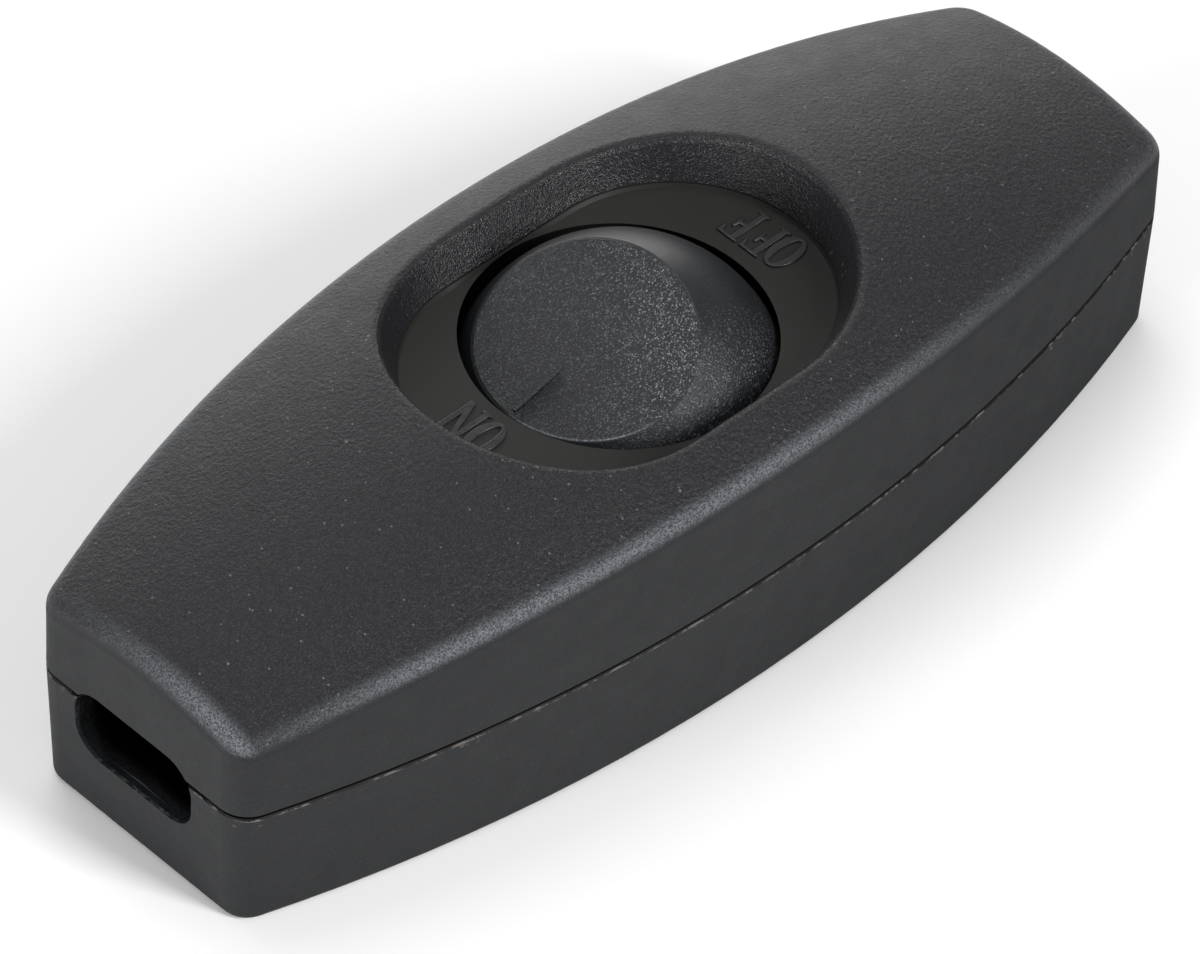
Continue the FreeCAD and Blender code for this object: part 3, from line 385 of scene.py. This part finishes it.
def seam_masks(recipe, z):
    """Masks of the seam's painted shade, a dark band over the opening between the shells and over its lips,
    and of the pale, burred and scuffed lower lip with a painted highlight along its edge.
    """
    ragged = recipe.noise(RAGGED_SIZE, detail=4.0, roughness=0.65)
    brink = recipe.ramp(ragged, 0.3, 0.7, SEAM_LOW - 0.1, SEAM_LOW - 0.02)
    over = recipe.maths("SUBTRACT", z, brink)
    # Painted shade: a dark band from a ragged line under the lower lip up to just above the upper lip
    seam_shade = recipe.product(
        recipe.ramp(over, -0.01, 0.01),
        recipe.ramp(z, SEAM_HIGH + 0.12, SEAM_HIGH + 0.09),
    )
    # Pale ragged line along the lower lip: a burr with a painted highlight of the lip's edge
    lip_burr_and_highlight = recipe.product(
        recipe.within(over, -0.08, -0.02, 0.015),
        recipe.ramp(ragged, 0.45, 0.62, 0.0, 0.8),
    )
    scuff = recipe.product(
        recipe.within(z, SEAM_LOW - 0.55, SEAM_LOW - 0.1, 0.08),
        recipe.ramp(ragged, 0.6, 0.7, 0.0, 0.35),
    )
    return seam_shade, recipe.maths("MAXIMUM", lip_burr_and_highlight, scuff)


def housing_plastic():
    """Black plastic: wrinkled grain on top, glossier on the recess wall, satin sides, smooth floor."""
    recipe = Recipe("housing_plastic")
    x, y, z = recipe.axes(recipe.place)
    masks = surface_masks(recipe, x, y, z)
    seam_shade, lip_burr_and_highlight = seam_masks(recipe, z)

    grain = recipe.noise(GRAIN_SIZE, detail=3.0, roughness=0.6, distortion=0.5)
    fine = recipe.noise(FINE_SIZE, detail=1.0)
    waves = recipe.noise(WAVE_SIZE, detail=2.0)
    recipe.relief(recipe.total([
        (grain, recipe.spread(masks, GRAIN_HEIGHTS)),
        (fine, recipe.spread(masks, FINE_HEIGHTS)),
        (waves, recipe.spread(masks, WAVE_HEIGHTS)),
    ]))

    flecks = recipe.ramp(recipe.noise(FLECK_SIZE, detail=1.0), 0.48, 0.75)
    flecks = recipe.product(flecks, recipe.spread(masks, FLECK_SHARES))
    # Dust specks; on the recess wall their share is raised to paint glints
    dust_and_glints = recipe.maths("MAXIMUM", recipe.specks(*FINE_DUST_AND_GLINTS), recipe.specks(*COARSE_DUST_AND_GLINTS))
    dust_and_glints = recipe.product(dust_and_glints, recipe.spread(masks, DUST_AND_GLINT_SHARES))
    # Painted highlight along the crown's edge, broken up by the fine grain
    edge_highlight = recipe.product(painted_edge_highlight(recipe, x, y, z), recipe.ramp(fine, 0.38, 0.6, 0.2, 1.0))
    colour = recipe.tint(masks["floor"], TOP_BLACK, FLOOR_BLACK)
    colour = recipe.tint(masks["side"], colour, SIDE_BLACK)
    colour = recipe.tint(flecks, colour, FLECK_GREY)
    colour = recipe.tint(dust_and_glints, colour, DUST_AND_GLINT_GREY)
    colour = recipe.tint(edge_highlight, colour, EDGE_HIGHLIGHT_GREY)
    # Pale lower lip: burr, scuffs and painted highlight
    colour = recipe.tint(lip_burr_and_highlight, colour, BURR_AND_HIGHLIGHT_GREY)
    # Painted shade over the seam and in the slot's far part
    colour = recipe.tint(recipe.maths("MAXIMUM", seam_shade, masks["slot_shade"]), colour, PAINTED_SHADE_BLACK)

    rough = recipe.total([
        (recipe.spread(masks, ROUGHNESSES), 1.0),
        (masks["side"], recipe.ramp(x, -20, 30, *SIDE_ROUGHNESSES)),
        (recipe.maths("SUBTRACT", waves, 0.5), 0.2),
    ])
    return recipe.finish(colour, recipe.maths("MAXIMUM", rough, LEAST_ROUGHNESS), HOUSING_SPECULAR)


def rocker_plastic():
    """Gritty dish and satin ball of the rocker, with painted glints on the dish and the ball's lower flank,
    brighter towards the lit side, and a painted highlight along one side of its rim.
    """
    recipe = Recipe("rocker_plastic")
    x, y, _ = recipe.axes(recipe.place)
    reach = recipe.distance(BALL_CENTRE)
    dish = recipe.ramp(reach, BALL_RADIUS - 0.02, BALL_RADIUS - 0.12)
    gritty = recipe.maths("MAXIMUM", dish, recipe.ramp(y, -3.0, -6.5, 0.05, 0.45))
    grit = recipe.noise(GRIT_SIZE, detail=2.0, roughness=0.75)
    depth = recipe.ramp(gritty, 0, 1, BALL_GRIT_HEIGHT, DISH_GRIT_HEIGHT, smooth=False)
    recipe.relief(recipe.product(grit, depth))

    # Painted glints on the dish and the ball's lower flank, brighter towards the lit side
    chance = recipe.cells(FLAKE_SIZE)[1]
    glint = recipe.maths("MAXIMUM", recipe.maths("POWER", chance, 10.0), recipe.specks(*PAINTED_GLINT_SPECKS))
    brighter_towards_light = recipe.ramp(recipe.maths("SUBTRACT", x, y), -4.0, 7.0, 0.4, 1.5)
    # Painted highlight along the rim's side nearer -X and -Y, broken up by the grit
    rim = recipe.product(
        recipe.within(reach, BALL_RADIUS - 0.1, BALL_RADIUS - 0.03, 0.01),
        recipe.ramp(x, -2.5, -6.0),
        recipe.ramp(y, 0.5, -1.5),
        recipe.ramp(grit, 0.35, 0.6, 0.2, 1.0),
    )
    painted_glints = recipe.maths("MAXIMUM", recipe.product(glint, gritty, brighter_towards_light), rim)
    colour = recipe.tint(painted_glints, ROCKER_BLACK, GLINT_GREY)
    rough = recipe.ramp(dish, 0, 1, BALL_ROUGHNESS, DISH_ROUGHNESS, smooth=False)
    return recipe.finish(colour, rough, ROCKER_SPECULAR)


def plain_plastic(name, colour, roughness):
    """Inner moulded piece with a faint grain."""
    recipe = Recipe(name)
    grain = recipe.noise(0.5)
    recipe.relief(recipe.product(grain, 0.01))
    rough = recipe.ramp(grain, 0.3, 0.7, roughness - 0.05, roughness + 0.05)
    shade = recipe.tint(grain, colour, tuple(value * 1.15 for value in colour))
    return recipe.finish(shade, rough)


def metal(name, colour, roughness):
    """Worked metal with a faint grain and uneven gloss."""
    recipe = Recipe(name)
    recipe.shader.inputs["Metallic"].default_value = 1.0
    stain = recipe.noise(1.2, detail=4.0)
    grain = recipe.noise(0.15)
    recipe.relief(recipe.product(grain, 0.006))
    shade = recipe.tint(stain, colour, tuple(value * 0.8 for value in colour))
    rough = recipe.ramp(stain, 0.3, 0.7, roughness - 0.08, roughness + 0.08)
    return recipe.finish(shade, rough)


LETTERING = plain_plastic("letter_plastic", LETTER_BLACK, 0.3)
MATERIALS = {
    "housing": housing_plastic(),
    "rocker": rocker_plastic(),
    "plunger": plain_plastic("plunger_plastic", (0.6, 0.58, 0.54), 0.4),
    "clamp": plain_plastic("clamp_plastic", (0.03, 0.03, 0.03), 0.4),
    "brass": metal("brass_strip", (0.72, 0.52, 0.24), 0.3),
    "contact_silver": metal("contact_silver", (0.8, 0.79, 0.77), 0.25),
    "screw_steel": metal("zinc_steel", (0.62, 0.62, 0.62), 0.32),
    "spring_steel": metal("spring_steel", (0.5, 0.5, 0.52), 0.3),
}


def add_object(name, data):
    """New object in the scene."""
    thing = bpy.data.objects.new(name, data)
    bpy.context.scene.collection.objects.link(thing)
    return thing


def dress_nodes():
    """Gives every carried-over node the material of its slot."""
    for part in frame["record"]["subparts"]:
        node = frame["nodes"][part["node"]]
        if not node.material_slots:
            node.data.materials.append(None)
        for place in node.material_slots:
            place.material = MATERIALS[part["material_slot"]]


def round_rim(node):
    """Rounds the sharp edges of a node a little."""
    rim = node.modifiers.new("rim", "BEVEL")
    rim.width = RIM_RADIUS * MM
    rim.segments = 2
    rim.limit_method = "ANGLE"
    rim.angle_limit = math.radians(RIM_ANGLE)


def make_spring():
    """Copy of the plunger's spring, put where the carried-over node stands, which is hidden."""
    node = frame["nodes"]["rocker_spring"]
    spring = add_object("plunger_spring", node.data.copy())
    spring.matrix_world = node.matrix_world
    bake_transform(spring)
    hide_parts("rocker_spring")


def ellipse(half_width, half_height, count=48):
    """Points round an ellipse."""
    turn = 2 * math.pi / count
    return [(half_width * math.cos(i * turn), half_height * math.sin(i * turn)) for i in range(count)]


def raised_letter(name, loops, right, base):
    """Letter raised from the recess floor, its loops in millimetres, read along +Y with its top to -X."""
    curve = bpy.data.curves.new(name, "CURVE")
    curve.dimensions = "2D"
    curve.fill_mode = "BOTH"
    curve.extrude = LETTER_RISE * MM
    curve.bevel_depth = LETTER_EDGE * MM
    curve.bevel_resolution = 2
    curve.offset = -LETTER_EDGE * MM
    for loop in loops:
        spline = curve.splines.new("POLY")
        spline.points.add(len(loop) - 1)
        for point, (u, v) in zip(spline.points, loop):
            point.co = (u * MM, v * MM, 0, 1)
        spline.use_cyclic_u = True
    shape = bpy.data.objects.new(name + "_curve", curve)
    mesh = bpy.data.meshes.new_from_object(shape)
    bpy.data.objects.remove(shape)
    mesh.materials.clear()
    mesh.materials.append(LETTERING)
    mesh.shade_smooth()
    mesh.set_sharp_from_angle(angle=math.radians(LETTER_ANGLE))
    letter = add_object(name, mesh)
    place = (base * MM, right * MM, (RECESS_FLOOR - LETTER_EDGE) * MM)
    letter.matrix_world = Matrix.Translation(place) @ Matrix.Rotation(math.pi / 2, 4, "Z")
    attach(letter, "housing")


def make_lettering():
    """OFF beyond the raised side of the rocker and ON beyond its pressed side."""
    ring = [ellipse(O_HALF_WIDTH, O_HALF_HEIGHT), ellipse(O_INNER_HALF_WIDTH, O_INNER_HALF_HEIGHT)]
    raised_letter("off_o", ring, -1.35, 10.1)
    raised_letter("off_f_first", [F_OUTLINE], -0.6, 11.25)
    raised_letter("off_f_second", [F_OUTLINE], 0.88, 11.25)
    raised_letter("on_o", ring, -0.8, -9.8)
    raised_letter("on_n", [N_OUTLINE], 0.02, -8.5)


def make_floor():
    """Pale floor that fades into the white surround, just under the base."""
    reach, low = FLOOR_HALF_SIZE, -FLOOR_GAP * MM
    corners = [(-reach, -reach, low), (reach, -reach, low), (reach, reach, low), (-reach, reach, low)]
    mesh = bpy.data.meshes.new("floor")
    mesh.from_pydata(corners, [], [(0, 1, 2, 3)])
    mesh.materials.append(Recipe("floor_white").finish(STUDIO_WHITE, 0.9))
    floor = add_object("floor", mesh)


def make_world():
    """Even white surround."""
    world = bpy.data.worlds.new("studio")
    bpy.context.scene.world = world
    world.use_nodes = True
    background = world.node_tree.nodes["Background"]
    background.inputs["Color"].default_value = (1, 1, 1, 1)
    background.inputs["Strength"].default_value = WORLD_STRENGTH


def make_softbox(name, azimuth, elevation, distance, size, power):
    """Rectangular lamp that faces the object."""
    data = bpy.data.lights.new(name, "AREA")
    data.shape = "RECTANGLE"
    data.size, data.size_y = size
    data.energy = power
    turn, rise = math.radians(azimuth), math.radians(elevation)
    away = Vector((math.cos(turn) * math.cos(rise), math.sin(turn) * math.cos(rise), math.sin(rise)))
    light = add_object(name, data)
    light.location = away * distance
    light.rotation_mode = "QUATERNION"
    light.rotation_quaternion = away.to_track_quat("Z", "Y")


def make_camera():
    """Camera at the photograph's place."""
    azimuth, elevation = CAMERA_AZIMUTH, CAMERA_ELEVATION
    back = Vector((
        -math.sin(azimuth) * math.cos(elevation),
        -math.cos(azimuth) * math.cos(elevation),
        math.sin(elevation),
    ))
    level = Vector((math.cos(azimuth), -math.sin(azimuth), 0))
    rise = back.cross(level)
    right = math.cos(CAMERA_ROLL) * level + math.sin(CAMERA_ROLL) * rise
    up = -math.sin(CAMERA_ROLL) * level + math.cos(CAMERA_ROLL) * rise
    place = CAMERA_AIM + back * CAMERA_DISTANCE - right * CAMERA_OFFSET[0] - up * CAMERA_OFFSET[1]
    data = bpy.data.cameras.new("camera")
    data.lens = CAMERA_LENS
    data.sensor_width = CAMERA_SENSOR
    data.clip_start, data.clip_end = CAMERA_CLIP
    camera = add_object("camera", data)
    camera.matrix_world = Matrix((
        (right.x, up.x, back.x, place.x),
        (right.y, up.y, back.y, place.y),
        (right.z, up.z, back.z, place.z),
        (0, 0, 0, 1),
    ))
    bpy.context.scene.camera = camera


dress_nodes()
round_rim(frame["nodes"]["rocker_button"])
make_spring()
make_lettering()
make_floor()
make_world()
for name, settings in SOFTBOXES.items():
    make_softbox(name, *settings)
make_camera()
bpy.context.scene.view_settings.view_transform = "Standard"
